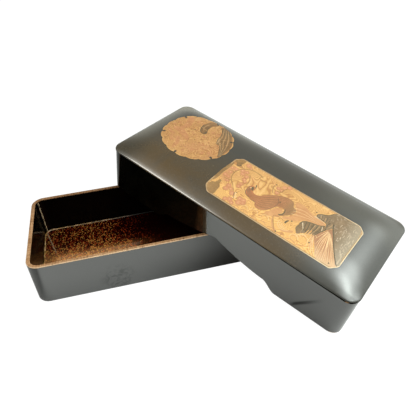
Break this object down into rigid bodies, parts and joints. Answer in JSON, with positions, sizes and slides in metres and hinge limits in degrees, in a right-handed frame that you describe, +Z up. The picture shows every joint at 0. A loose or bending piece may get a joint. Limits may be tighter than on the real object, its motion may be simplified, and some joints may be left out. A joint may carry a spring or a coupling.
{
  "type": "lacquer document box",
  "caption": "Long black-lacquered wooden letter box: an open tray, and its deep pillow-topped lid with finger notches lifted off and leaning across it.",
  "frame": {"origin": "middle of the tray's flat underside, on the surface that the box stands on", "axes": "+X along the tray towards the end that the lid leans over, +Y across the tray away from the end that the lid stands on, +Z up"},
  "size_m": [0.3257, 0.2642, 0.1008],
  "materials": {
    "tray_lacquer": "satin black lacquer over wood, the rim worn to tan",
    "lid_lacquer": "satin brown-black lacquer over wood, with gold lacquer pictures on the top",
    "gold_picture": "gold lacquer picture with brown and rose areas, satin",
    "sprinkled_floor": "black lacquer sprinkled with gold flakes under amber lacquer, glossy",
    "worn_rim": "lacquer worn through to the tan ground"
  },
  "bodies": {
    "root": {"tray": "tray_lacquer", "lid": "lid_lacquer"}
  },
  "joints": []
}
